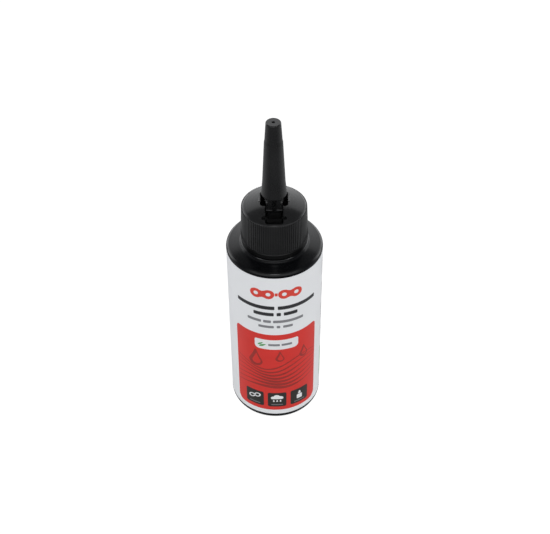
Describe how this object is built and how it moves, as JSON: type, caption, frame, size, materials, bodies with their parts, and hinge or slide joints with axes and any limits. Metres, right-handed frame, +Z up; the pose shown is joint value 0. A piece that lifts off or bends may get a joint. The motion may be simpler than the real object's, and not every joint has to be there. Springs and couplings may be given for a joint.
{
  "type": "chain lube bottle",
  "caption": "Upright cylindrical squeeze bottle for bicycle chain oil, with a ribbed screw cap and a long tapered spout that tilts forward on pivot pins.",
  "frame": {"origin": "centre of the base, on the plane it stands on", "axes": "+Z up along the bottle and the upright spout, -Y to the front, where the spout tilts to and the label's panel faces, +X to the right seen from the front"},
  "size_m": [0.04, 0.04, 0.1516],
  "materials": {
    "bottle_plastic": "glossy black blown polyethylene",
    "label_film": "satin white printed film",
    "seal_foam": "soft pale sealing foam",
    "cap_plastic": "satin black moulded plastic",
    "seat_plastic": "satin black moulded plastic",
    "spout_plastic": "satin black moulded plastic"
  },
  "bodies": {
    "bottle": {"bottle": "bottle_plastic", "label": "label_film"},
    "seal_ring": {"seal_ring": "seal_foam"},
    "cap": {"cap": "cap_plastic", "valve_seat": "seat_plastic"},
    "spout": {"spout": "spout_plastic"}
  },
  "joints": [
    {"name": "cap_lift", "type": "slide", "parent": "bottle", "child": "seal_ring", "axis": [0, 0, 1], "range_m": [0, 0.0048]},
    {"name": "cap_turn", "type": "hinge", "parent": "seal_ring", "child": "cap", "pos_m": [0, 0, 0.101], "axis": [0, 0, 1], "range_deg": [0, 540]},
    {"name": "spout_tilt", "type": "hinge", "parent": "cap", "child": "spout", "pos_m": [0, 0, 0.1036], "axis": [1, 0, 0], "range_deg": [0, 36]}
  ],
  "couplings": [
    {"joint": "cap_lift", "follows": "cap_turn", "m_per_rad": 0.000506}
  ]
}
